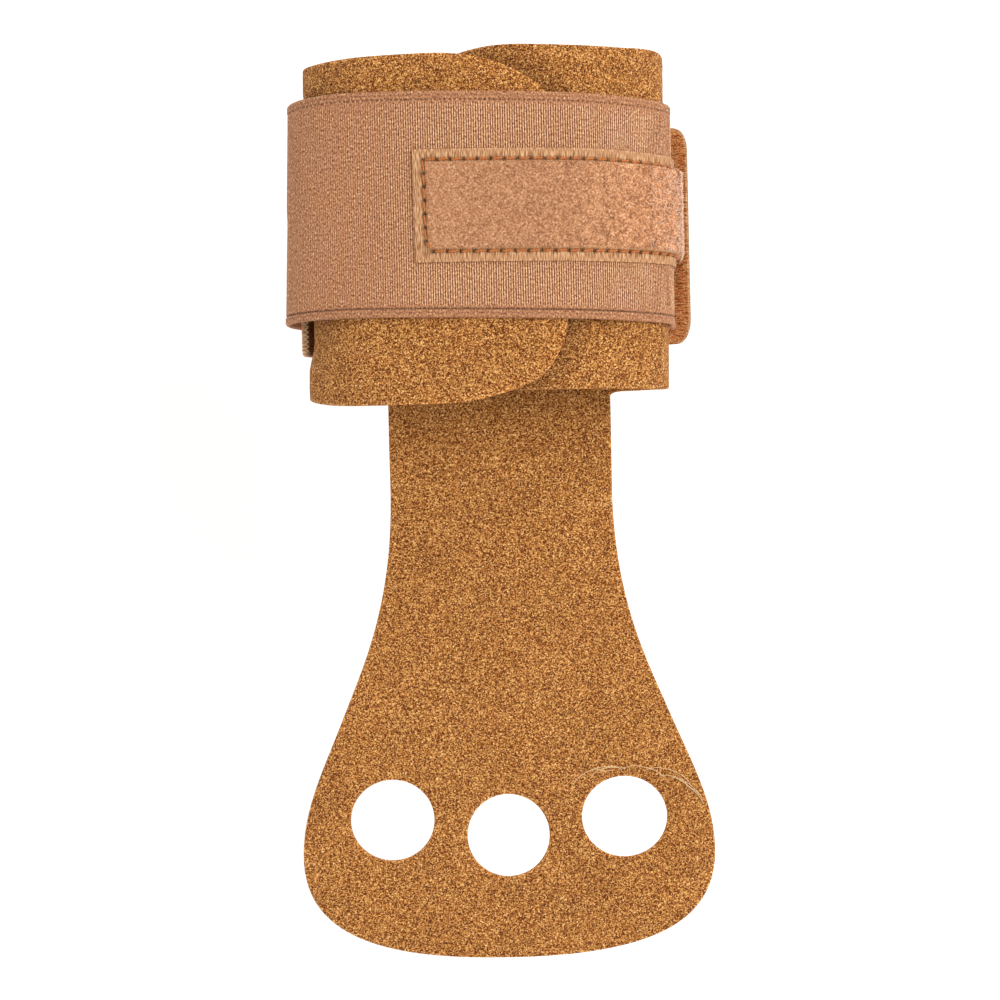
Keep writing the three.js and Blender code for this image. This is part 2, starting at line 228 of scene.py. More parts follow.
def piece(name, vertices, faces, materials, pattern=None, shade=None, slots=None, sharp=None):
    """A closed mesh in metres. Each vertex keeps its rest place, its pattern place, and a shade
    that its colour is multiplied by."""
    vertices = np.asarray(vertices, float)
    mesh = bpy.data.meshes.new(name)
    mesh.from_pydata((vertices * MM).tolist(), [], [list(map(int, face)) for face in faces])
    shades = mesh.attributes.new("shade", "FLOAT", "POINT")
    shades.data.foreach_set("value", np.ravel(np.ones(len(vertices)) if shade is None else shade))
    for attribute, values in (("rest", vertices * MM), ("pattern", pattern)):
        if values is not None:
            layer = mesh.attributes.new(attribute, "FLOAT_VECTOR", "POINT")
            layer.data.foreach_set("vector", np.asarray(values, np.float32).ravel())
    for material in materials:
        mesh.materials.append(material)
    if slots is not None:
        mesh.polygons.foreach_set("material_index", np.asarray(slots, np.int32))
    if sharp is not None:
        ends = np.zeros(2 * len(mesh.edges), np.int32)
        mesh.edges.foreach_get("vertices", ends)
        ends = ends.reshape(-1, 2)
        flags = sharp[ends[:, 0]] & sharp[ends[:, 1]]
        mesh.edges.foreach_set("use_edge_sharp", flags)
    shape = bmesh.new()
    shape.from_mesh(mesh)
    if shape.calc_volume(signed=True) < 0:
        bmesh.ops.reverse_faces(shape, faces=shape.faces)
        shape.to_mesh(mesh)
    shape.free()
    mesh.shade_smooth()
    return add(name, mesh)


def nearest(points):
    """A tree that finds the nearest of the points."""
    tree = kdtree.KDTree(len(points))
    for i, point in enumerate(points):
        tree.insert((*point, 0), i)
    tree.balance()
    return tree


def fill(loops, spacing):
    """Points inside the loops on a staggered grid, clear of the loops."""
    tree = nearest(np.vstack(loops))
    low = min(loop[:, 1].min() for loop in loops)
    high = max(loop[:, 1].max() for loop in loops)
    step = spacing * math.sqrt(3) / 2
    found = []
    for row in range(1, int((high - low) / step) + 1):
        y = low + row * step
        crossings = []
        for loop in loops:
            after = np.roll(loop, -1, axis=0)
            hit = (loop[:, 1] <= y) != (after[:, 1] <= y)
            p, q = loop[hit], after[hit]
            crossings.extend(p[:, 0] + (y - p[:, 1]) / (q[:, 1] - p[:, 1]) * (q[:, 0] - p[:, 0]))
        crossings.sort()
        shift = spacing / 2 * (row % 2)
        for start, end in zip(crossings[::2], crossings[1::2]):
            first = math.ceil((start - shift) / spacing) * spacing + shift
            for x in np.arange(first, end, spacing):
                if tree.find((x, y, 0))[2] > 0.62 * spacing:
                    found.append((x, y))
    return np.array(found)


def inside_of(loop, points):
    """Which of the points are inside the loop."""
    p, q = loop, np.roll(loop, -1, axis=0)
    x, y = points[:, 0, None], points[:, 1, None]
    with np.errstate(divide="ignore", invalid="ignore"):
        crossing = p[:, 0] + (y - p[:, 1]) / (q[:, 1] - p[:, 1]) * (q[:, 0] - p[:, 0])
    hits = ((p[:, 1] <= y) != (q[:, 1] <= y)) & (x < crossing)
    return hits.sum(1) % 2 == 1


RIM_ANGLES = np.radians([90, 62, 32, 0, -32, -62, -90])
RIM_REACH = 0.5
# Cut rims are lighter: partly the raw cut edge's own colour, partly a painted highlight.
RIM_LIGHTER = 0.25


def cut_sheet(outline, holes, spacing, thickness, place, relief):
    """Vertices, faces, pattern places and sharp marks of a closed sheet.

    The outline's parts run anticlockwise, and its first part is a seam, which meets another sheet
    with a plain cut. Holes run clockwise. place turns (u, v, height above the middle) into space."""
    line, seam = ring_of(outline, spacing)
    lines = [line, *[ring_of([hole], spacing)[0] for hole in holes]]
    inwards = []
    for line in lines:
        way = np.roll(line, -1, axis=0) - np.roll(line, 1, axis=0)
        inwards.append(np.stack([-way[:, 1], way[:, 0]], 1) / np.linalg.norm(way, axis=1)[:, None])
    cut_way = lines[0][seam] - lines[0][0]
    cut_way /= np.linalg.norm(cut_way)
    inwards[0][0] = cut_way
    inwards[0][1:seam] = 0
    inwards[0][seam] = -cut_way
    half = thickness / 2
    rings = []
    for angle in RIM_ANGLES:
        inset = RIM_REACH * (1 - math.cos(angle))
        height = half * math.copysign(abs(math.sin(angle)) ** 0.6, angle)
        for line, inward in zip(lines, inwards):
            at = line + inward * inset
            rings.append(np.column_stack([at, np.full(len(at), height)]))
    count = len(lines)
    inner = [ring[:, :2] for ring in rings[:count]]
    inside = fill(inner, spacing)
    flat = np.vstack([*inner, inside])
    starts = np.cumsum([0, *[len(line) for line in lines]])
    edges = [
        (int(start + i), int(start + (i + 1) % len(line)))
        for start, line in zip(starts, lines)
        for i in range(len(line))
    ]
    cut = delaunay_2d_cdt([Vector(p) for p in flat], edges, [], 2, 1e-7)
    came_from = [ids[0] for ids in cut[3]]
    triangles = np.array([[came_from[i] for i in face] for face in cut[2]])
    for hole in inner[1:]:
        triangles = triangles[~inside_of(hole, flat[triangles].mean(1))]
    edge_count = starts[-1]
    around = np.vstack(rings)
    top = np.column_stack([inside, np.full(len(inside), half)])
    bottom = top * (1, 1, -1)
    local = np.vstack([around, top, bottom])
    last_ring = (len(RIM_ANGLES) - 1) * edge_count
    index = np.arange(len(flat))
    top_at = np.where(index < edge_count, 0, len(around) - edge_count)
    bottom_at = np.where(index < edge_count, last_ring, len(around) + len(top) - edge_count)
    faces = [*(index + top_at)[triangles], *(index + bottom_at)[triangles][:, ::-1]]
    for level in range(len(RIM_ANGLES) - 1):
        for start, line in zip(starts, lines):
            i = np.arange(len(line))
            here = level * edge_count + start + i
            after = level * edge_count + start + (i + 1) % len(line)
            faces.extend(np.stack([here, here + edge_count, after + edge_count, after], 1))
    local[:, 2] += relief(local[:, 0], local[:, 1], local[:, 2])
    sharp = np.zeros(len(local), bool)
    sharp[:seam + 1] = True
    sharp[last_ring:last_ring + seam + 1] = True
    shade = np.ones(len(local))
    # Painted highlight, partly the raw cut edge's own colour: the rounded cut rims are made lighter.
    shade[edge_count:last_ring] += RIM_LIGHTER
    return place(local[:, 0], local[:, 1], local[:, 2]), faces, local, shade, sharp


def swept(stations):
    """Vertices and faces of a closed solid from sections: an array of stations, points and XYZ."""
    count, around = stations.shape[:2]
    i, j = np.meshgrid(np.arange(count - 1), np.arange(around), indexing="ij")
    here, beside = i * around + j, i * around + (j + 1) % around
    sides = np.stack([here, beside, beside + around, here + around], -1).reshape(-1, 4)
    ends = [list(range(around))[::-1], list(range((count - 1) * around, count * around))]
    return stations.reshape(-1, 3), [*sides, *ends]


def tube(path, radius, sides=6, taper=1.0):
    """A round solid along a path, with its ends drawn in to taper times its radius."""
    path = np.asarray(path, float)
    way = np.gradient(path, axis=0)
    way /= np.linalg.norm(way, axis=1)[:, None]
    flat = abs(way[:, 2]).mean() < 0.8
    up = np.array([0.3, 0.2, 1.0] if flat else [1.0, 0.2, 0.1])
    across = np.cross(way, up)
    across /= np.linalg.norm(across, axis=1)[:, None]
    other = np.cross(way, across)
    thick = np.full(len(path), float(radius))
    thick[[0, -1]] *= taper
    angle = np.linspace(0, 2 * math.pi, sides, endpoint=False)[None, :, None]
    ring = np.cos(angle) * across[:, None] + np.sin(angle) * other[:, None]
    return swept(path[:, None] + ring * thick[:, None, None])


def bundle(name, parts, material, slot, body, *nodes):
    """One piece of many small solids, which rides on a body and replaces CAD nodes."""
    vertices, faces, at = [], [], 0
    for points, sides in parts:
        vertices.append(points)
        faces.extend([[i + at for i in face] for face in sides])
        at += len(points)
    made = piece(name, np.vstack(vertices), faces, [material])
    if nodes:
        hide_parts(*nodes)
    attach(made, body)


def bend(made, first, second, joint, reach):
    """Bakes a piece's place into its mesh. It looks up the joint's axis and the reach, but blends
    nothing across the joint.
    """
    at, reach = pivot(joint), np.array(reach)
    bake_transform(made)


# ---- materials ---------------------------------------------------------------------------------


def linear(red, green, blue):
    """A screen colour, from 0 to 255, as the linear colour that shaders take."""
    parts = [c / 255 for c in (red, green, blue)]
    return (*[c / 12.92 if c <= 0.04045 else ((c + 0.055) / 1.055) ** 2.4 for c in parts], 1)


class Surface:
    """A material under construction: a Principled shader and the nodes that feed it."""

    def __init__(self, name, roughness, sheen=0.0, sheen_colour=(1, 1, 1, 1)):
        self.material = bpy.data.materials.new(name)
        self.material.use_nodes = True
        self.tree = self.material.node_tree
        self.shader = self.tree.nodes["Principled BSDF"]
        self.shader.inputs["Roughness"].default_value = roughness
        self.shader.inputs["Specular IOR Level"].default_value = 0.25
        self.shader.inputs["Sheen Weight"].default_value = sheen
        self.shader.inputs["Sheen Roughness"].default_value = 0.5
        self.shader.inputs["Sheen Tint"].default_value = sheen_colour

    def node(self, kind, inputs=(), **settings):
        made = self.tree.nodes.new("ShaderNode" + kind)
        for key, value in settings.items():
            setattr(made, key, value)
        for key, value in dict(inputs).items():
            if isinstance(value, bpy.types.NodeSocket):
                self.tree.links.new(value, made.inputs[key])
            else:
                made.inputs[key].default_value = value
        return made

    def place(self, attribute="rest", scale=(1, 1, 1)):
        """The vertex's own place, in millimetres, stretched."""
        found = self.node("Attribute", attribute_name=attribute)
        unit = 1 / MM if attribute == "rest" else 1
        sizes = {0: found.outputs["Vector"], 1: tuple(unit * s for s in scale)}
        return self.node("VectorMath", sizes, operation="MULTIPLY").outputs[0]

    def noise(self, vector, scale, detail=2.0, roughness=0.5, distortion=0.0):
        inputs = {"Vector": vector, "Scale": scale, "Detail": detail, "Roughness": roughness}
        return self.node("TexNoise", {**inputs, "Distortion": distortion}).outputs[0]

    def weave(self, along, across, detail=2.0, roughness=0.5):
        """Noise over the pattern places, with so many specks a millimetre each way."""
        place = self.place("pattern", (along, across, 0))
        return self.noise(place, 1.0, detail=detail, roughness=roughness)

    def math(self, operation, a, b=0.0):
        return self.node("Math", {0: a, 1: b}, operation=operation).outputs[0]

    def blended(self, *shares):
        """The sum of values, each times its share."""
        total = None
        for value, share in shares:
            part = self.math("MULTIPLY", value, share)
            total = part if total is None else self.math("ADD", total, part)
        return total

    def ramp(self, value, stops):
        made = self.node("ValToRGB", {0: value})
        points = made.color_ramp.elements
        while len(points) < len(stops):
            points.new(0.5)
        for point, (position, colour) in zip(points, stops):
            point.position = position
            point.color = colour
        return made.outputs[0]

    def tones(self, value, *stops, shade=1.0):
        """Screen colours at values from 0 to 1: each stop is a value, red, green and blue."""
        return self.ramp(value, [(at, linear(*(shade * c for c in rgb))) for at, *rgb in stops])

    def times(self, a, b):
        """One colour multiplied by another."""
        made = self.node("Mix", {0: 1.0, 6: a, 7: b}, data_type="RGBA", blend_type="MULTIPLY")
        return made.outputs[2]

    def colour(self, socket):
        """The base colour, times the vertices' shade."""
        shade = self.node("Attribute", attribute_name="shade").outputs["Fac"]
        grey = self.node("CombineColor", {0: shade, 1: shade, 2: shade}).outputs[0]
        self.tree.links.new(self.times(socket, grey), self.shader.inputs["Base Color"])

    def relief(self, height, depth, strength=1.0):
        """Bumps of a height from 0 to 1, as deep as depth."""
        inputs = {"Height": height, "Distance": depth * MM, "Strength": strength}
        made = self.node("Bump", inputs)
        self.tree.links.new(made.outputs[0], self.shader.inputs["Normal"])


def suede(name, shade=1.0):
    """Coarse napped leather: short worm-like tufts, light on dark, over slow patches."""
    made = Surface(name, roughness=0.92, sheen=0.1, sheen_colour=linear(255, 190, 120))
    place = made.place()
    field = made.noise(place, 1.8, detail=1.0, roughness=0.4, distortion=0.7)
    off = made.math("ABSOLUTE", made.math("SUBTRACT", field, 0.5))
    worms = made.node("MapRange", {0: off, 1: 0.0, 2: 0.14, 3: 1.0, 4: 0.0}).outputs[0]
    specks = made.noise(place, 2.7, detail=2.0, roughness=0.6)
    nap = made.blended((worms, 0.3), (specks, 0.7))
    base = made.tones(nap, (0.33, 92, 41, 8), (0.46, 154, 88, 31), (0.53, 183, 115, 49),
                      (0.61, 217, 153, 81), (0.72, 255, 208, 138), shade=shade)
    patches = made.noise(place, 0.07, detail=3.0)
    tint = made.ramp(patches, [(0.3, (0.93, 0.92, 0.9, 1)), (0.7, (1.05, 1.05, 1.06, 1))])
    made.colour(made.times(base, tint))
    made.relief(nap, 0.5, 0.8)
    return made.material


def elastic_knit(name):
    """A tan knit with fine dark lines between its ribs, clearer in some places than in others."""
    made = Surface(name, roughness=0.8, sheen=0.1, sheen_colour=linear(255, 220, 196))
    pattern = made.node("SeparateXYZ", {0: made.place("pattern")}).outputs
    along, clear = pattern[0], pattern[2]
    sway = made.weave(0.5, 0.06)
    turns = made.blended((along, 2 * math.pi / RIB), (sway, 3.0))
    ribs = made.math("MULTIPLY", made.math("SINE", turns), 0.15)
    stitches = made.weave(3.4, 1.7, detail=1.0, roughness=0.6)
    knots = made.weave(2.3, 2.3, roughness=0.6)
    value = made.blended((ribs, clear), (stitches, 0.55), (knots, 0.45))
    base = made.tones(value, (0.32, 86, 45, 26), (0.44, 143, 91, 60), (0.51, 169, 116, 80),
                      (0.59, 190, 138, 99), (0.71, 232, 193, 150))
    broad = made.weave(0.05, 0.03)
    tint = made.ramp(broad, [(0.3, (0.96, 0.95, 0.95, 1)), (0.7, (1.03, 1.03, 1.02, 1))])
    made.colour(made.times(base, tint))
    made.relief(value, 0.16, 0.7)
    return made.material


def loop_pile(name):
    """Brushed loops: a mottled pinkish nap."""
    made = Surface(name, roughness=0.95, sheen=0.1, sheen_colour=linear(255, 226, 214))
    place = made.place("pattern")
    nap = made.noise(place, 2.3, detail=3.0, roughness=0.62, distortion=0.3)
    made.colour(made.tones(nap, (0.30, 122, 74, 43), (0.44, 166, 114, 77), (0.55, 184, 132, 94),
                           (0.70, 218, 173, 136)))
    made.relief(nap, 0.4, 0.7)
    return made.material


def hook_tape(name):
    """Brown ribbed tape, whose lightest specks are painted glints of its hooks."""
    made = Surface(name, roughness=0.62, sheen=0.15, sheen_colour=linear(255, 190, 140))
    ribs = made.weave(0.35, 3.6, roughness=0.6)
    specks = made.weave(2.2, 2.8, roughness=0.6)
    value = made.blended((ribs, 0.5), (specks, 0.5))
    # The lightest tone is a painted glint of the hooks.
    made.colour(made.tones(value, (0.39, 112, 54, 24), (0.47, 212, 128, 68), (0.53, 250, 172, 104),
                           (0.61, 255, 240, 180)))
    made.relief(value, 0.2, 0.7)
    return made.material


def plain_weave(name, specks, *tones, detail=2.0, **sheen):
    """Woven tape in three tones, with so many specks a millimetre along and across."""
    made = Surface(name, roughness=0.8, **sheen)
    weave = made.weave(*specks, detail=detail)
    made.colour(made.tones(weave, *tones))
    made.relief(weave, 0.15, 0.6)
    return made.material


def twisted_thread(name, dark, light, roughness=0.55):
    """Thread whose strands run from a dark screen colour to a light one."""
    made = Surface(name, roughness=roughness)
    strands = made.noise(made.place(), 5.0, detail=2.0)
    made.colour(made.tones(strands, (0.35, *dark), (0.65, *light)))
    made.relief(strands, 0.08, 0.6)
    return made.material


# ---- leather -----------------------------------------------------------------------------------

FINE, WAVES = Grain(0.9, 1), Grain(13, 2)
PALM_SPACING, BAND_SPACING = 0.7, 0.75


def leather_relief(u, v, height):
    """A rough nap on both faces, and slow waves of the whole sheet."""
    side = np.sign(height)
    return 0.05 * side * FINE(u, v + 40 * side) + 0.12 * WAVES(u, v)


def leather(name, outline, holes, spacing, place, material, tint=None):
    """A sheet of leather. tint turns pattern places into a factor for its shade."""
    vertices, faces, pattern, shade, sharp = cut_sheet(outline, holes, spacing, LEATHER, place,
                                                       leather_relief)
    if tint:
        shade = shade * tint(*pattern.T)
    return piece(name, vertices, faces, [material], pattern, shade, sharp=sharp)


def palm_profile():
    """The palm's middle surface seen along X: flat, then rising into the neck."""
    flat_to = FINGER_TIP + 94.3
    wrist = PALM[1][1]
    rise = bezier((flat_to, LEATHER / 2), (flat_to + 15, LEATHER / 2), (wrist - 14, NECK_Z),
                  (wrist, NECK_Z))
    flat = np.linspace((FINGER_TIP, LEATHER / 2), (flat_to, LEATHER / 2), 60)
    end = np.linspace((wrist, NECK_Z), (NECK[1][1] + 1, NECK_Z), 60)
    return Profile(chain(flat, rise, end), side=-1)


PALM_PROFILE = palm_profile()


def place_palm(x, s, height):
    """Places on the palm: X, and the distance from the finger end."""
    y, z = PALM_PROFILE.at(s, height)
    return np.stack([x, y, z], 1)


def palm_side():
    """The palm's right edge from the neck to the middle of the finger end: distances across, and
    along from the finger end."""
    flare, neck, widest = 57.9, 113.3, 24.8
    upper = bezier((NECK_HALF, neck), (NECK_HALF, 85.3), (33.5, 71.3), (39, flare))
    middle = bezier((39, flare), (44, 45.7), (PALM_HALF, 36.3), (PALM_HALF, widest))
    tip = bezier((PALM_HALF, widest), (PALM_HALF, 5.2), (29, 0), (0, 0))
    return chain(upper, middle, tip)


PALM_SIDE = palm_side()
PALM_SPLIT = 97.0
SPLIT_HALF = float(np.interp(PALM_SPLIT, PALM_SIDE[::-1, 1], PALM_SIDE[::-1, 0]))
MIRROR = (-1, 1)


def neck_and_palm(material):
    """The palm from its middle up, with the neck that is sewn inside the band."""
    neck_end = NECK[1][1] - FINGER_TIP
    above = PALM_SIDE[PALM_SIDE[:, 1] > PALM_SPLIT][::-1]
    corner = np.array([(0, -1), (-0.3, -0.3), (-1, 0)]) + (NECK_HALF, neck_end)
    right = chain([(SPLIT_HALF, PALM_SPLIT)], above, corner)
    seam = [(-SPLIT_HALF, PALM_SPLIT), (SPLIT_HALF, PALM_SPLIT)]
    outline = [seam, chain(right, (right * MIRROR)[::-1])]
    made = leather("palm_upper", outline, [], PALM_SPACING, place_palm, material)
    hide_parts("palm_leather", "neck_end")
    wrist = pivot("palm_bends")[1]
    start, end = (0, (wrist + 1) * MM, 0), (0, (wrist - 8) * MM, 0)
    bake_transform(made)
    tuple(start)
    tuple(end)


def finger_hole(x, at, half_width, half_length):
    """The line round a hole, clockwise."""
    angle = np.linspace(0, -2 * math.pi, 120)
    return np.stack([x + half_width * np.cos(angle), at + half_length * np.sin(angle)], 1)


HOLES = [(-27.7, 33.4, 9.95, 9.6), (-0.1, 29.2, 9.8, 9.8), (27.7, 33.1, 10.15, 9.6)]


def palm_and_fingers(material):
    """The palm's lower half, with its three finger holes."""
    below = chain([(SPLIT_HALF, PALM_SPLIT)], PALM_SIDE[PALM_SIDE[:, 1] < PALM_SPLIT])
    seam = [(SPLIT_HALF, PALM_SPLIT), (-SPLIT_HALF, PALM_SPLIT)]
    holes = [finger_hole(*hole) for hole in HOLES]
    outline = [seam, chain(below * MIRROR, below[::-1])]
    made = leather("palm_lower", outline, holes, PALM_SPACING, place_palm, material)
    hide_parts("finger_end", "palm_leather")
    bend(made, "palm", "finger_end", "finger_end_bends", (0, -6, 0))


FILLET = 2.6
TONGUE_LOW, BACK_HIGH = BAND[0][1], BAND[1][1]
BACK_LOW = TONGUE_LOW + FILLET


def cuff_place(x, y, z):
    """A place on the cuff, from a place on its even oval: the right side sits a little in."""
    return np.stack([x - 0.35 * smooth(x, 15, 41) + BAND_X, y, z], -1)


def left_outline():
    """The left half's outline as two parts, from the back's middle along the top to the flap's
    tip, and back along the bottom. Distances round the oval are below 0 here."""
    low, high = LEFT_FLAP[0][1], LEFT_FLAP[1][1]
    neck = -NECK_HALF - BAND_X
    front, tip, side = -FRONT, -FRONT - 18.5, LEFT_SIDE - AROUND
    upper = chain([(0, BACK_HIGH), (side + 16, BACK_HIGH)],
                  bezier((side + 8, BACK_HIGH), (side + 3, high), (side - 1, high),
                         (side - 8, high), 20),
                  bezier((front + 13, high), (front + 2, high), (front - 6, high - 3),
                         (front - 12, high - 7.4), 30),
                  bezier((front - 12, high - 7.4), (front - 17, high - 12), (tip, high - 18),
                         (tip, high - 28), 20))
    lower = chain(upper[-1:],
                  bezier((tip + 0.5, low + 23), (tip + 0.7, low + 13), (front - 14, low + 6.7),
                         (front - 9.5, low + 4.5), 30),
                  bezier((front - 9.5, low + 4.5), (front - 4, low + 2.2), (front + 2, low),
                         (front + 12, low), 30),
                  bezier((side - 24, low), (side - 8, low + 0.2), (side - 6, low + 1.2),
                         (side + 6, BACK_LOW), 30),
                  tongue_corner(neck, -1)[::-1],
                  [(neck + 0.8, TONGUE_LOW), (0, TONGUE_LOW)])
    return upper, lower


def past_left_edge(s, y):
    """How far each place lies inside the left half's outline, below 0 outside it."""
    line = np.vstack([evenly(part, 0.8) for part in left_outline()])
    tree = nearest(line)
    distance = np.array([tree.find((*point, 0))[2] for point in zip(s, y)])
    inside = inside_of(line[::2], np.column_stack([s, y]))
    return np.where(inside, distance, -distance)


def left_flap_lift(s, y):
    """The left flap climbs over the right one, and its tip stands up clear of the strap and bends
    down at its edge."""
    over = 1 - smooth(s, 25 - FRONT, 42 - FRONT)
    beside_strap = np.maximum(1 - smooth(y, 33, 41), smooth(y, 96.5, 101))
    clear = beside_strap * (1 - smooth(s, -FRONT, 18 - FRONT))
    bent = 1 - smooth(past_left_edge(s, y), 0, 5)
    return LAYER * over + clear * (1.5 - 0.9 * bent)


def right_flap_lift(s, y):
    """The right flap dips where the left one covers it."""
    covered = smooth(past_left_edge(s - AROUND, y), -6, 0.5)
    return -1.0 * covered * smooth(s, RIGHT_SIDE + 8, FRONT - 26)


def place_band(lift, turn):
    """A function for places on the band: the distance round the oval from the middle of the back,
    and Y. The strap's sewn end presses the left side in."""

    def place(s, y, height):
        x, z = OVAL.at(s + turn, lift(s, y) + height)
        pressed = smooth(-x, 34, 41) * smooth(y, 33, 41) * (1 - smooth(y, 91, 99))
        return cuff_place(x + 1.4 * pressed, y, z)

    return place


def tongue_corner(x, side):
    """The tongue's rounded corner, and the fillet that joins it to the back."""
    fillet = bezier((x, TONGUE_LOW + 0.9), (x, BACK_LOW - 0.6), (x + side, BACK_LOW),
                    (x + side * (FILLET + 0.8), BACK_LOW), 12)
    return chain([(x - side * 0.3, TONGUE_LOW + 0.3)], fillet)


def band_right(material):
    """The band's right half: half the back, and the right flap, whose tip lies under the left."""
    low, high = RIGHT_FLAP[0][1], RIGHT_FLAP[1][1]
    neck = NECK_HALF - BAND_X
    tip, slope, side = FRONT + 20, FRONT + 14, RIGHT_SIDE
    seam = [(0, BACK_HIGH), (0, TONGUE_LOW)]
    tongue = chain([(0, TONGUE_LOW), (neck - 0.8, TONGUE_LOW)], tongue_corner(neck, 1))
    lower = chain(tongue,
                  bezier((side - 14, BACK_LOW), (side - 6, BACK_LOW), (side, low),
                         (side + 8, low), 30),
                  bezier((FRONT - 8, low), (FRONT + 4, low), (FRONT + 8, low + 2),
                         (slope, low + 6), 30),
                  bezier((slope, low + 6), (tip - 2, low + 9), (tip, low + 13),
                         (tip, low + 20), 20))
    upper = chain(lower[-1:],
                  bezier((tip, high - 20), (tip, high - 13), (tip - 2, high - 9),
                         (slope, high - 5), 20),
                  bezier((slope, high - 5), (FRONT + 6, high - 1.6), (FRONT + 2, high),
                         (FRONT - 8, high), 30),
                  bezier((side + 16, high - 0.4), (side + 7, high), (side + 4, high),
                         (side, high - 1.2), 20),
                  [(side - 14, BACK_HIGH), (0, BACK_HIGH)])

    def shadow(s, y, height):
        near = bump(past_left_edge(s - AROUND, y), 0, 4.5)
        return 1 - 0.25 * near * (height > 0) * smooth(s, FRONT - 40, FRONT - 20)

    made = leather("band_right", [seam, lower, upper], [], BAND_SPACING,
                   place_band(right_flap_lift, 0), material, shadow)
    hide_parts("right_flap", "band_back")
    bend(made, "cuff", "right_flap", "right_flap_opens", (0, 0, 8))


def band_left(material):
    """The band's left half: half the back, and the left flap, which lies on the right one."""
    upper, lower = left_outline()
    seam = [(0, TONGUE_LOW), (0, BACK_HIGH)]

    # Painted highlight: the left flap is lighter along its edge near the tip, where the raised edge
    # catches the light.
    def painted_edge_highlight(s, y, _):
        near = bump(past_left_edge(s, y), 0, 2.2)
        return 1 + 0.12 * near * (1 - smooth(s, 5 - FRONT, 25 - FRONT))

    made = leather("band_left", [seam, upper, lower], [], BAND_SPACING,
                   place_band(left_flap_lift, AROUND), material, painted_edge_highlight)
    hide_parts("left_flap", "band_back")
    bend(made, "cuff", "left_flap", "left_flap_opens", (0, 0, 8))


# ---- the elastic strap -------------------------------------------------------------------------

STRAP_WIDTH = 50.7
STRAP_MIDDLE = (STRAP[0][1] + STRAP[1][1]) / 2
STRAP_SLANT = -0.028
STRAP_END_Z = STRAP[0][2] + 0.1
STRAP_FLARE, FLARE_DROP = 0.5, 11.9
CORD_PITCH = 1.1
STRAP_HALF = 0.6
STRAP_STEPS = 900
RIB = 0.54


def strap_profile(extra=0.0, low_end=0.0):
    """The strap's middle seen along Y, from its sewn end on the left over the front and down on
    the right, or a line that lies above it by extra."""
    s = np.linspace(LEFT_SIDE + 11.2, RIGHT_SIDE, STRAP_STEPS)
    x, z = OVAL.at(s, strap_lift(s) + extra)
    down = np.linspace(0, 1, 60)[1:]
    fall = z[-1] - (STRAP_END_Z + low_end)
    flare = STRAP_FLARE * down * down * (fall / FLARE_DROP)
    right = np.stack([x[-1] + flare, z[-1] - fall * down], 1)
    return Profile(np.vstack([np.stack([x, z], 1), right]), side=-1)


STRAP_PROFILE = strap_profile()


def place_strap(s, v, height):
    """Places on the strap: the distance from its sewn end, and across from its middle line. Its
    left side leans out towards its lower edge."""
    left = 1 - smooth(s, 8, 40)
    x, z = STRAP_PROFILE.at(s, height - 0.033 * v * left)
    return cuff_place(x, STRAP_MIDDLE + v + STRAP_SLANT * x - 0.8 * left, z)


EDGE_STEPS = [0, 0.05, 0.18, 0.4, 0.7, 0.92, 1.04, 1.16, 1.3, 1.55, 1.74, 1.88, 2.0, 2.12, 2.26,
              2.5, 3.0]


def two_faces(outer, inner):
    """Places round a section, with 1 on its outer face and -1 on its inner one."""
    return np.concatenate([outer, inner]), np.repeat([1.0, -1.0], [len(outer), len(inner)])


def elastic_section():
    """Places across the strap and whether each is on its outer face, round the section."""
    half = STRAP_WIDTH / 2
    edge = np.array(EDGE_STEPS)
    middle = np.linspace(-half + 3.0, half - 3.0, 22)[1:-1]
    outer = np.concatenate([-half + edge, middle, (half - edge)[::-1]])
    rims = np.array([0.05, 0.3, 1.0])
    plain = np.concatenate([rims, np.linspace(3, STRAP_WIDTH - 3, 10), STRAP_WIDTH - rims[::-1]])
    return two_faces(outer, half - plain)


def elastic_strap(material):
    """The strap, with a cord and grooves along each edge, and ribs across between them."""
    across, face = elastic_section()
    along = np.arange(0, STRAP_PROFILE.length, RIB / 4)
    s, v = np.meshgrid(along, across, indexing="ij")
    side = np.broadcast_to(face, s.shape)
    edge = STRAP_WIDTH / 2 - np.abs(v)
    round_edge = rounding(edge, 0.5)
    roll = 0.14 * np.sin(np.pi * np.clip(edge / 2.3, 0, 1))
    dots = np.where(v > 0, 0.55 + 0.45 * np.cos(2 * np.pi * s / CORD_PITCH), 1)
    groove = np.maximum(bump(edge, 2.0, 0.2) * dots, 0.35 * bump(edge, 1.1, 0.16))
    inside = smooth(edge, 2.4, 3.2)
    wobble = Grain(2.2, 5)(s, v * 0.25)
    ribs = np.cos(2 * np.pi * (s / RIB) + 0.5 * wobble) * (0.05 + 0.02 * wobble)
    twist = 0.04 * np.cos(2 * np.pi * (s / CORD_PITCH + 0.25 * np.abs(v)))
    knit = inside * ribs + (1 - inside) * twist * smooth(edge, 0.1, 0.6)
    wave = 0.18 * Grain(16, 6)(s, v) * smooth(edge, 0, 6)
    height = side * (STRAP_HALF * round_edge) + (side > 0) * (roll - 0.34 * groove + knit) + wave
    ends = smooth(s, STRAP_PROFILE.length - 9, STRAP_PROFILE.length)
    lip = 0.8 * ends * smooth(-v, STRAP_WIDTH / 2 - 4, STRAP_WIDTH / 2)
    vertices, faces = swept(place_strap(s, v, height + lip))
    strongest = 0.35 + 0.65 * smooth(s, 34, 60) * (1 - 0.55 * smooth(s, 100, 125))
    pattern = np.stack([s, v, strongest * inside], -1).reshape(-1, 3)
    # Painted shade: the outer face is darker in the grooves along both edges, in dots along the
    # wrist-side groove.
    shade = np.where(side > 0, 1 - 0.62 * groove, 1)
    made = piece("strap_elastic", vertices, faces, [material], pattern, shade)
    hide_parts("elastic_strap", "elastic_sewn_end")
    bend(made, "cuff", "strap", "strap_opens", (1.1, 0, 4.3))


# ---- the loop tape -----------------------------------------------------------------------------

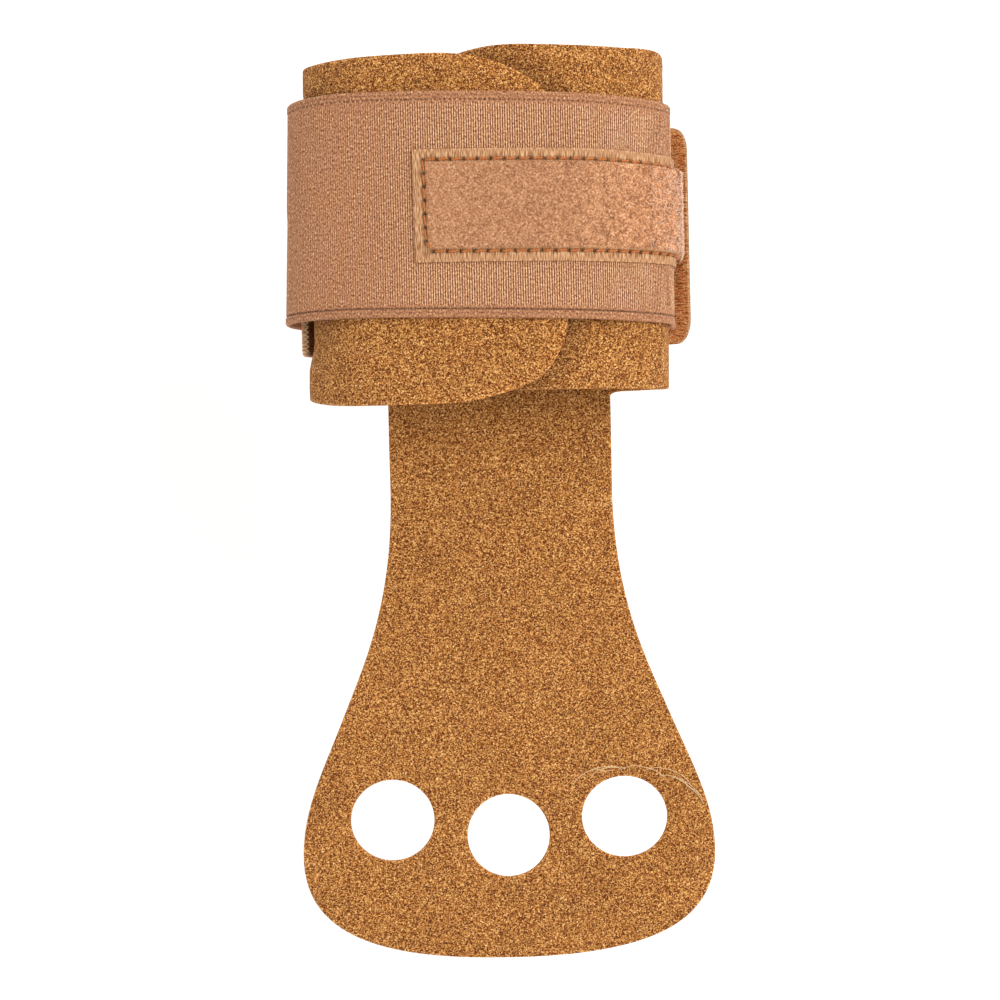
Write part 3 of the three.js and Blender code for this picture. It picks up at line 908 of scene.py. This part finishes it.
TAPE_HALF = 0.3
TAPE_WIDTH = TAPE[1][1] - TAPE[0][1]
TAPE_MIDDLE = (TAPE[0][1] + TAPE[1][1]) / 2 + 0.5
TAPE_LIFT = STRAP_HALF + 0.1 + TAPE_HALF
TAPE_END_SKEW = 0.014
TAPE_SLANT = -0.009
PILE_HEIGHT, PILE_HEIGHT_RIGHT = 0.75, 1.5
STITCH_INSET, STITCH_PITCH, STITCH_RADIUS = 2.4, 3.0, 0.26
TAPE_PROFILE = strap_profile(TAPE_LIFT, 0.3)


def tape_start():
    """How far along the strap's line the tape's left end is."""
    x = TAPE_PROFILE.points[:STRAP_STEPS, 0]
    return float(np.interp(TAPE[0][0] - BAND_X + 0.75, x, TAPE_PROFILE.distance[:STRAP_STEPS]))


TAPE_START = tape_start()
TAPE_LENGTH = TAPE_PROFILE.length - TAPE_START


def place_tape(a, v, height):
    """Places on the tape: the distance from its left end, and across from its middle line."""
    skew = -TAPE_END_SKEW * v * (1 - smooth(a, 0, 30))
    narrow = 1 - 0.02 * smooth(a, TAPE_LENGTH - 45, TAPE_LENGTH - 12)
    x, z = TAPE_PROFILE.at(TAPE_START + a + skew, height)
    return cuff_place(x, TAPE_MIDDLE + v * narrow + TAPE_SLANT * a, z)


def pile_height(a):
    """How far the pile stands up: it is brushed out on the right side."""
    right = smooth(a, TAPE_LENGTH - 36, TAPE_LENGTH - 22)
    return PILE_HEIGHT + (PILE_HEIGHT_RIGHT - PILE_HEIGHT) * right


def stitch_line():
    """The seam on the tape, from the right end along the top, down the left end, along the
    bottom: (a, v) places a pitch apart."""
    half = TAPE_WIDTH / 2 - STITCH_INSET
    corner = 2.2
    right = TAPE_LENGTH - 1
    turn = np.linspace(math.pi, 1.5 * math.pi, 8)
    round_corner = corner * (1 + np.stack([np.cos(turn), np.sin(turn)], 1))
    low_corner = round_corner + (STITCH_INSET, -half)
    top = evenly([(right, half), (STITCH_INSET, half)], STITCH_PITCH)
    rest = evenly(chain([(STITCH_INSET, half)], low_corner, [(right, -half)]), STITCH_PITCH)
    return np.vstack([top, rest[1:]])


STITCHES = stitch_line()


def dimples(a, v):
    """How near each place is to a needle hole, from 0 to 1."""
    near = np.zeros(np.shape(a))
    for hole_a, hole_v in STITCHES:
        near = np.maximum(near, np.exp(-(((a - hole_a) / 0.5) ** 2 + ((v - hole_v) / 0.42) ** 2)))
    return near


def pile_share(border):
    """How much of the pile's height stands at each distance from the tape's border."""
    return smooth(border, STITCH_INSET + 0.1, STITCH_INSET + 0.9)


def loop_tape(materials):
    """The tape: a woven border round the pile, and a dimple where the needle went in."""
    half = TAPE_WIDTH / 2
    rims = np.array([0, 0.05, 0.18])
    outer = np.concatenate([rims - half, np.linspace(-half + 0.4, half - 0.4, 104),
                            half - rims[::-1]])
    inner = np.concatenate([[half - 0.1, half - 0.5], np.linspace(half - 2, -half + 2, 12),
                            [-half + 0.5, -half + 0.1]])
    across, face = two_faces(outer, inner)
    along = np.concatenate([[0, 0.06, 0.18], np.arange(0.4, TAPE_LENGTH, 0.24)])
    a, v = np.meshgrid(along, across, indexing="ij")
    side = np.broadcast_to(face, a.shape)
    edge = half - np.abs(v)
    round_edge = rounding(np.minimum(edge, a + 0.1), 0.3)
    border = np.minimum(edge, a)
    inside = pile_share(border)
    rough = 0.13 * Grain(0.55, 8)(a, v) + 0.1 * Grain(1.7, 9)(a, v)
    rough *= 1 + 0.5 * smooth(a, TAPE_LENGTH - 30, TAPE_LENGTH - 16)
    pile = inside * (pile_height(a) - 0.15 + rough)
    ribs = (1 - inside) * 0.035 * np.cos(2 * np.pi * a / 0.5) * smooth(edge, 0.1, 0.5)
    seam = bump(border, STITCH_INSET, 0.35)
    holes = dimples(a, v)
    outer_height = TAPE_HALF * round_edge + pile + ribs - 0.12 * seam - 0.5 * holes
    height = np.where(side > 0, outer_height, -TAPE_HALF * round_edge)
    vertices, faces = swept(place_tape(a, v, height))
    pattern = np.stack([a, v, inside], -1).reshape(-1, 3)
    # Painted highlight: a thin lighter line along the tape's long edges.
    painted_border_highlight = 0.16 * bump(border, 0.12, 0.2) * (edge < 3)
    # Lighter towards the right end: partly the paler brushed pile, partly painted light where the
    # end curves down away from the lamp.
    brushed = 0.36 * smooth(a, TAPE_LENGTH - 56, TAPE_LENGTH - 22)
    brushed += 0.25 * smooth(a, TAPE_LENGTH - 28, TAPE_LENGTH - 16)
    # Painted shade: darker in the needle holes and along the seam's dent.
    dark = 1 - 0.68 * np.minimum(1, 1.4 * holes)
    shade = np.where(side > 0, (1 + painted_border_highlight + brushed * inside - 0.18 * seam) * dark, 1)
    napped = ((inside > 0.35) & (side > 0)).reshape(-1)
    slots = [0 if all(napped[i] for i in face) else 1 for face in faces]
    made = piece("loop_tape_base", vertices, faces, materials, pattern, shade, slots)
    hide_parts("loop_tape")
    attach(made, "strap")


def tape_stitching(material):
    """Each stitch rises out of one needle hole and goes down into the next."""
    parts = []
    for start, end in zip(STITCHES[:-1], STITCHES[1:]):
        t = np.linspace(0.08, 0.84, 9)[:, None]
        way = (end - start) / STITCH_PITCH
        at = start + (end - start) * t + 0.36 * (t - 0.46) * np.array([-way[1], way[0]])
        border = np.minimum(at[:, 0], TAPE_WIDTH / 2 - np.abs(at[:, 1]))
        rise = 0.42 * np.sin(np.pi * (t[:, 0] + 0.04)) ** 0.4 + 0.6 * pile_share(border + 0.15)
        parts.append(tube(place_tape(at[:, 0], at[:, 1], rise), STITCH_RADIUS, sides=8,
                          taper=0.7))
    bundle("tape_stitches", parts, material, "stitching_thread", "strap", "loop_tape_stitching")


def pile_fibres(name, material, count, first, seed, reach, rise):
    """Fine loops that stand out of the brushed pile, from first to the tape's right end."""
    pick = np.random.default_rng(SEED + seed)
    half = TAPE_WIDTH / 2 - STITCH_INSET - 0.6
    parts = []
    t = np.linspace(-1, 1, 5)
    for _ in range(count):
        a, v = pick.triangular(first, TAPE_LENGTH - 1, TAPE_LENGTH), pick.uniform(-half, half)
        turn = pick.uniform(0, 2 * math.pi)
        length, bow = pick.uniform(*reach), pick.uniform(-0.3, 0.3) * (1 - t * t)
        along = a + length * t * math.cos(turn) - bow * math.sin(turn)
        across = v + length * t * math.sin(turn) + bow * math.cos(turn)
        height = TAPE_HALF + pile_height(a) - 0.2 + pick.uniform(*rise) * (1 - t * t)
        along = np.clip(along, STITCH_INSET + 0.4, TAPE_LENGTH - 0.3)
        parts.append(tube(place_tape(along, across, height), 0.035, sides=3))
    bundle(name, parts, material, "loop_pile", "strap")


# ---- the hook tab ------------------------------------------------------------------------------

TAB_LIFT = BACK_Z - 0.6
TAB_LOW, TAB_HIGH = TAB[0][1] + 0.2, TAB[1][1] + 0.8
TAB_HALF, TAB_END_HALF = 0.48, 0.95
TAB_FLAT_TO = 36.0
TAB_CURL, TAB_CURL_ANGLE = 14.0, math.radians(56)
TAB_CORNER_ACROSS, TAB_CORNER_ALONG, SEWN_CORNER = 6.0, 4.6, 1.6
TAB_RIM_HALF = 0.12


def tab_profile():
    """The tab seen along Y, from its sewn end up the left side, under the back, to its curled
    end."""
    s = np.linspace(LEFT_SIDE + 4.4, AROUND, 400)
    x, z = OVAL.at(s, TAB_LIFT + 0.45 * (1 - smooth(s, LEFT_SIDE + 9, LEFT_SIDE + 20)))
    angle = np.linspace(0, TAB_CURL_ANGLE, 60)
    flat = np.linspace((0, z[-1]), (TAB_FLAT_TO, z[-1]), 60, endpoint=False)[1:]
    curl = TAB_CURL * np.stack([np.sin(angle), 1 - np.cos(angle)], 1) + (TAB_FLAT_TO, z[-1])
    return Profile(np.vstack([np.stack([x, z], 1), flat, curl]), side=-1)


TAB_PROFILE = tab_profile()


def tab_slant(s):
    """The tab runs a little up towards its free end."""
    return 1.5 * (smooth(s, 8, 60) - 1)


def place_tab(s, y, height):
    """Places on the tab: the distance from its sewn end, and Y. Its hook side is up."""
    x, z = TAB_PROFILE.at(s, height)
    return np.stack([x + BAND_X, y + tab_slant(s), z], -1)


def tab_reach(y):
    """How far along the tab goes at each Y: its free end has rounded corners, and so has its
    sewn end, a little."""
    edge = np.minimum(y - TAB_LOW, TAB_HIGH - y)
    far = 1 - rounding(edge, TAB_CORNER_ACROSS)
    near = 1 - rounding(edge, SEWN_CORNER)
    return SEWN_CORNER * near, TAB_PROFILE.length - TAB_CORNER_ALONG * far


def hook_tab(materials):
    """The tab, ribbed along its length, and thicker where its sewn end is folded."""
    low, high = TAB_LOW, TAB_HIGH
    inner_y = np.arange(low + 0.5, high - 0.5, 0.1375)
    rims = np.array([0, 0.04, 0.14, 0.3])
    rows = np.concatenate([low + rims, inner_y, high - rims[::-1]])
    t = np.concatenate([[0, 0.0006, 0.002, 0.005], np.linspace(0.01, 0.99, 106),
                        [0.997, 0.9992, 1]])
    y, share = np.meshgrid(rows, t, indexing="ij")
    start, end = tab_reach(y)
    s = start + (end - start) * share
    edge = np.minimum(np.minimum(y - low, high - y), np.minimum(s - start, end - s))
    round_edge = rounding(edge, 0.3)
    ribs = 0.045 * np.cos(2 * np.pi * y / 0.55) * smooth(edge, 0.2, 0.6)
    groove = 0.1 * bump(edge, 1.3, 0.2)
    thicker = (TAB_END_HALF - TAB_HALF) * (1 - smooth(s, 7, 16))
    half = TAB_RIM_HALF + (TAB_HALF - TAB_RIM_HALF) * round_edge + thicker
    heights = np.concatenate([half + ribs - groove, (0.5 * ribs - half)[:, ::-1]], axis=1)
    s, y, edge = (np.concatenate([values, values[:, ::-1]], axis=1) for values in (s, y, edge))
    vertices, faces = swept(place_tab(s, y, heights))
    pattern = np.stack([s, y, heights], -1).reshape(-1, 3)
    slots = [0 if np.mean([pattern[i][2] for i in face]) > 0 else 1 for face in faces]
    # Painted shade: the hook face is much darker at the sewn end, where it faces the shaded gap
    # beside the leather.
    inner = smooth(pattern[:, 2], -0.25, -0.05) * (1 - smooth(pattern[:, 0], 2, 6))
    # Painted shade: the rounded rim is darker towards the free end, to damp the highlight that the
    # lamp puts there.
    rim = (1 - smooth(edge, 0.1, 0.7)).reshape(-1) * smooth(pattern[:, 0], 30, 40)
    shade = (1 - 0.75 * inner) * (1 - 0.42 * rim)
    made = piece("hook_tab_tape", vertices, faces, materials, pattern, shade, slots)
    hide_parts("hook_tab", "hook_tab_sewn_end")
    bend(made, "cuff", "hook_tab", "hook_tab_opens", (3, 0, -2))


def tab_hooks(material):
    """Rows of short hooks on the tab's upper side, past its bend."""
    low, high = TAB_LOW, TAB_HIGH
    pick = np.random.default_rng(SEED + 30)
    free = 22.0
    parts = []
    angle = np.linspace(0, 1.25 * math.pi, 6)
    for row, y in enumerate(np.arange(low + 2.2, high - 2, 1.1)):
        for at in np.arange(free, TAB_PROFILE.length - 1.5, 1.65):
            s = at + 0.8 * (row % 2) + pick.normal(0, 0.1)
            place = y + pick.normal(0, 0.1)
            if s > tab_reach(np.array(place))[1] - 1.4:
                continue
            way = 1 if row % 2 else -1
            lean = pick.uniform(0.13, 0.2)
            hook_s = s + way * lean * (1 - np.cos(angle))
            hook_h = 0.5 + lean * np.sin(angle) + np.where(angle > 0, 0.12, 0)
            parts.append(tube(place_tab(hook_s, np.full(6, place), hook_h), 0.09, sides=4))
    bundle("tab_hooks", parts, material, "hook_tape", "hook_tab")


# ---- seams -------------------------------------------------------------------------------------


def zigzag(across, low, high, t):
    """Threads that run between places across, and between low and high."""
    for i, (start, end) in enumerate(zip(across[:-1], across[1:])):
        first, second = (low, high) if i % 2 else (high, low)
        yield first + (second - first) * t, start + (end - start) * t


def edge_seam(material):
    """The zigzag thread that binds the tab's two layers along its sewn end."""
    low, high = TAB_LOW + 1.2, TAB_HIGH - 1.2
    places = np.linspace(low, high, int((high - low) / 0.55))
    t = np.linspace(0, 1, 5)
    out = -0.1 - 0.2 * np.sin(np.pi * t)
    parts = [tube(place_tab_end(out, y, height), 0.12, sides=5, taper=0.8)
             for height, y in zigzag(places, -0.1, 0.85, t)]
    bundle("edge_seam", parts, material, "stitching_thread", "cuff")


def place_tab_end(out, y, height):
    """Places past the tab's sewn end, where its line goes straight on."""
    x0, z0 = TAB_PROFILE.at(0.0, height)
    x1, z1 = TAB_PROFILE.at(0.5, height)
    way = np.stack([x1 - x0, z1 - z0], -1)
    way /= np.linalg.norm(way, axis=-1)[..., None]
    x, z = x0 + out * way[..., 0], z0 + out * way[..., 1]
    return np.stack([x + BAND_X, y + tab_slant(0.0), z], -1)


def anchor_seam(material):
    """A zigzag through the strap's sewn end, on its outer face."""
    places = np.linspace(-STRAP_WIDTH / 2 + 2, STRAP_WIDTH / 2 - 2, 29)
    t = np.linspace(0.04, 0.96, 9)
    height = 0.52 + 0.3 * np.sin(np.pi * t) ** 0.5
    parts = [tube(place_strap(s, v, height), 0.22, sides=7, taper=0.7)
             for s, v in zigzag(places, 1.2, 3.4, t)]
    bundle("anchor_stitches", parts, material, "stitching_thread", "cuff", "anchor_stitching")


def neck_seam(material):
    """A box of stitches that holds the neck to the back of the band."""
    low, high = box("neck_stitching")
    corners = [(low[0], low[1]), (high[0], low[1]), (high[0], high[1]), (low[0], high[1])]
    line, _ = ring_of(zip(corners, corners[1:] + corners[:1]), 3.2)
    top = NECK_Z + LEATHER / 2
    parts = []
    for start, end in zip(line, np.roll(line, -1, axis=0)):
        t = np.linspace(0.08, 0.92, 8)[:, None]
        at = start + (end - start) * t
        rise = top + 0.3 * np.sin(np.pi * t[:, 0]) ** 0.45 - 0.08
        parts.append(tube(np.column_stack([at, rise]), STITCH_RADIUS, sides=8, taper=0.7))
    bundle("neck_stitches", parts, material, "stitching_thread", "cuff", "neck_stitching")


def loose_fibres(material):
    """Stray fibres round the right finger hole. Each is known by its ends and its bow: angles
    round the hole, and distances from its middle."""
    hole_x, hole_s = HOLES[2][:2]
    strands = [
        ((150, 14.5), (92, 11.2), 0.8), ((128, 12.6), (96, 11.8), 0.5),
        ((122, 13.4), (104, 11.3), -0.3), ((116, 12.4), (88, 11.4), 0.3),
        ((92, 11.4), (44, 13.2), 0.5), ((66, 11.8), (26, 17.4), 0.9),
        ((48, 12.9), (12, 18.9), 0.7), ((40, 14.4), (8, 19.0), 0.3),
        ((34, 16.2), (16, 18.4), -0.4),
    ]
    t = np.linspace(0, 1, 15)
    parts = []
    for (turn, reach), (last_turn, last_reach), bow in strands:
        angle = np.radians(turn + (last_turn - turn) * t)
        distance = reach + (last_reach - reach) * t + bow * np.sin(np.pi * t) + 0.12 * np.sin(9 * t)
        x = hole_x + distance * np.cos(angle)
        y = FINGER_TIP + hole_s + distance * np.sin(angle)
        path = np.stack([x, y, LEATHER + 0.1 + 0.3 * np.sin(np.pi * t)], 1)
        parts.append(tube(path, 0.07, sides=5))
    bundle("loose_fibres", parts, material, "palm_suede", "finger_end")


# ---- the room ----------------------------------------------------------------------------------

CAMERA_AT, CAMERA_TURN, CAMERA_LENS = (-0.35, 3.45, 560), -0.0227, 84.2
FLOOR_REACH = 3.0


def camera():
    """Straight above the grip, turned a little, so that the grip fills the frame's height."""
    eye = bpy.data.cameras.new("camera")
    eye.sensor_width = 36
    eye.lens = CAMERA_LENS
    made = add("camera", eye)
    made.location = [c * MM for c in CAMERA_AT]
    made.rotation_euler = (0, 0, CAMERA_TURN)
    bpy.context.scene.camera = made


def area_light(name, place, aim, size, power):
    """A round light at a place, turned to a point."""
    light = bpy.data.lights.new(name, "AREA")
    light.shape = "DISK"
    light.size = size
    light.energy = power
    made = add(name, light)
    made.location = place
    made.rotation_euler = (Vector(aim) - Vector(place)).to_track_quat("-Z", "Y").to_euler()


def room():
    """A pale floor, below the reach of the palm when it bends down, under soft light that comes
    mostly from the right."""
    paper = Surface("pale_floor", roughness=0.9)
    mottle = paper.noise(paper.node("TexCoord").outputs["Object"], 6.0)
    tone = paper.ramp(mottle, [(0.3, (0.96, 0.96, 0.96, 1)), (0.7, (0.98, 0.98, 0.98, 1))])
    paper.tree.links.new(tone, paper.shader.inputs["Base Color"])
    mesh = bpy.data.meshes.new("floor")
    low = (FINGER_TIP - pivot("palm_bends")[1]) * MM
    signs = [(-1, -1), (1, -1), (1, 1), (-1, 1)]
    corners = [(x * FLOOR_REACH, y * FLOOR_REACH, low) for x, y in signs]
    mesh.from_pydata(corners, [], [(0, 1, 2, 3)])
    mesh.materials.append(paper.material)
    floor = add("floor", mesh)
    world = bpy.data.worlds.new("soft_light")
    world.use_nodes = True
    sky = world.node_tree.nodes["Background"].inputs
    sky["Color"].default_value = (1, 1, 1, 1)
    sky["Strength"].default_value = 1.02
    bpy.context.scene.world = world
    area_light("key", (0.6, 0.2, 0.8), (0, 0.03, 0), 0.8, 6.0)
    bpy.context.scene.view_settings.view_transform = "Standard"


# ---- the grip ----------------------------------------------------------------------------------

camera()
palm_suede = suede("palm_suede", shade=0.965)
band_suede = suede("band_suede", shade=0.955)
neck_and_palm(palm_suede)
palm_and_fingers(palm_suede)
band_right(band_suede)
band_left(band_suede)
elastic_strap(elastic_knit("strap_elastic"))
pile = loop_pile("loop_pile")
border = plain_weave("tape_edge", (3.8, 0.5), (0.34, 134, 86, 50), (0.50, 174, 126, 87),
                     (0.66, 210, 167, 125), detail=1.5)
loop_tape([pile, border])
orange = twisted_thread("orange_thread", (136, 68, 28), (206, 124, 62))
pale = twisted_thread("pale_thread", (206, 160, 110), (250, 222, 176))
fluff = twisted_thread("pale_fluff", (252, 202, 168), (255, 234, 212))
tape_stitching(orange)
pile_fibres("pile_loops", pile, 4200, 3.4, 20, (0.25, 0.7), (0.15, 0.45))
pile_fibres("pile_fringe", fluff, 2000, TAPE_LENGTH - 30, 21, (0.3, 0.9), (0.3, 0.85))
hooks = hook_tape("hook_tape")
webbing = plain_weave("tab_webbing", (2.4, 2.4), (0.35, 160, 112, 78), (0.5, 203, 156, 116),
                      (0.66, 232, 192, 152), sheen=0.2, sheen_colour=linear(255, 224, 190))
hook_tab([hooks, webbing])
tab_hooks(twisted_thread("hook_plastic", (150, 74, 34), (226, 140, 76), roughness=0.35))
edge_seam(pale)
anchor_seam(orange)
neck_seam(orange)
loose_fibres(pale)
room()
